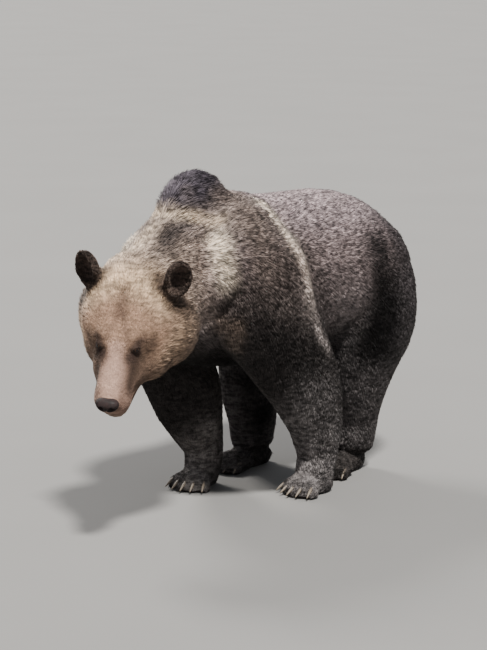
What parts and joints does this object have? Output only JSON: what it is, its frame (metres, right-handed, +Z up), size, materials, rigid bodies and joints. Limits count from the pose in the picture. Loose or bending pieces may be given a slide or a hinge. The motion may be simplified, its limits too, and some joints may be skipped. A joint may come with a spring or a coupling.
{
  "type": "brown bear model",
  "caption": "Life-size still model of a brown bear walking with its head lowered, standing on its soles.",
  "frame": {"origin": "on the floor, under the middle of the bounding box", "axes": "+Z up, the bear faces -Y and its left side is +X"},
  "size_m": [0.582, 1.5948, 1.0596],
  "materials": {
    "coat": "dense grizzled brown fur",
    "dark_coat": "dense near-black brown fur",
    "face_coat": "short tan fur",
    "nose_skin": "moist pebbled skin",
    "eye": "glossy dark brown",
    "claw_horn": "worn horn"
  },
  "bodies": {
    "root": {"trunk": "coat", "neck": "coat", "tail": "coat", "head": "face_coat", "lower_jaw": "face_coat", "ear_left": "dark_coat", "eye_left": "eye", "foreleg_left_upper": "dark_coat", "foreleg_left_lower": "dark_coat", "forepaw_left": "dark_coat", "hindleg_left_thigh": "dark_coat", "hindleg_left_shank": "dark_coat", "hindpaw_left": "dark_coat", "ear_right": "dark_coat", "eye_right": "eye", "foreleg_right_upper": "dark_coat", "foreleg_right_lower": "dark_coat", "forepaw_right": "dark_coat", "hindleg_right_thigh": "dark_coat", "hindleg_right_shank": "dark_coat", "hindpaw_right": "dark_coat", "nose": "nose_skin", "claw_forepaw_left_1": "claw_horn", "claw_forepaw_left_2": "claw_horn", "claw_forepaw_left_3": "claw_horn", "claw_forepaw_left_4": "claw_horn", "claw_forepaw_left_5": "claw_horn", "claw_forepaw_right_1": "claw_horn", "claw_forepaw_right_2": "claw_horn", "claw_forepaw_right_3": "claw_horn", "claw_forepaw_right_4": "claw_horn", "claw_forepaw_right_5": "claw_horn", "claw_hindpaw_left_1": "claw_horn", "claw_hindpaw_left_2": "claw_horn", "claw_hindpaw_left_3": "claw_horn", "claw_hindpaw_left_4": "claw_horn", "claw_hindpaw_left_5": "claw_horn", "claw_hindpaw_right_1": "claw_horn", "claw_hindpaw_right_2": "claw_horn", "claw_hindpaw_right_3": "claw_horn", "claw_hindpaw_right_4": "claw_horn", "claw_hindpaw_right_5": "claw_horn"}
  },
  "joints": []
}
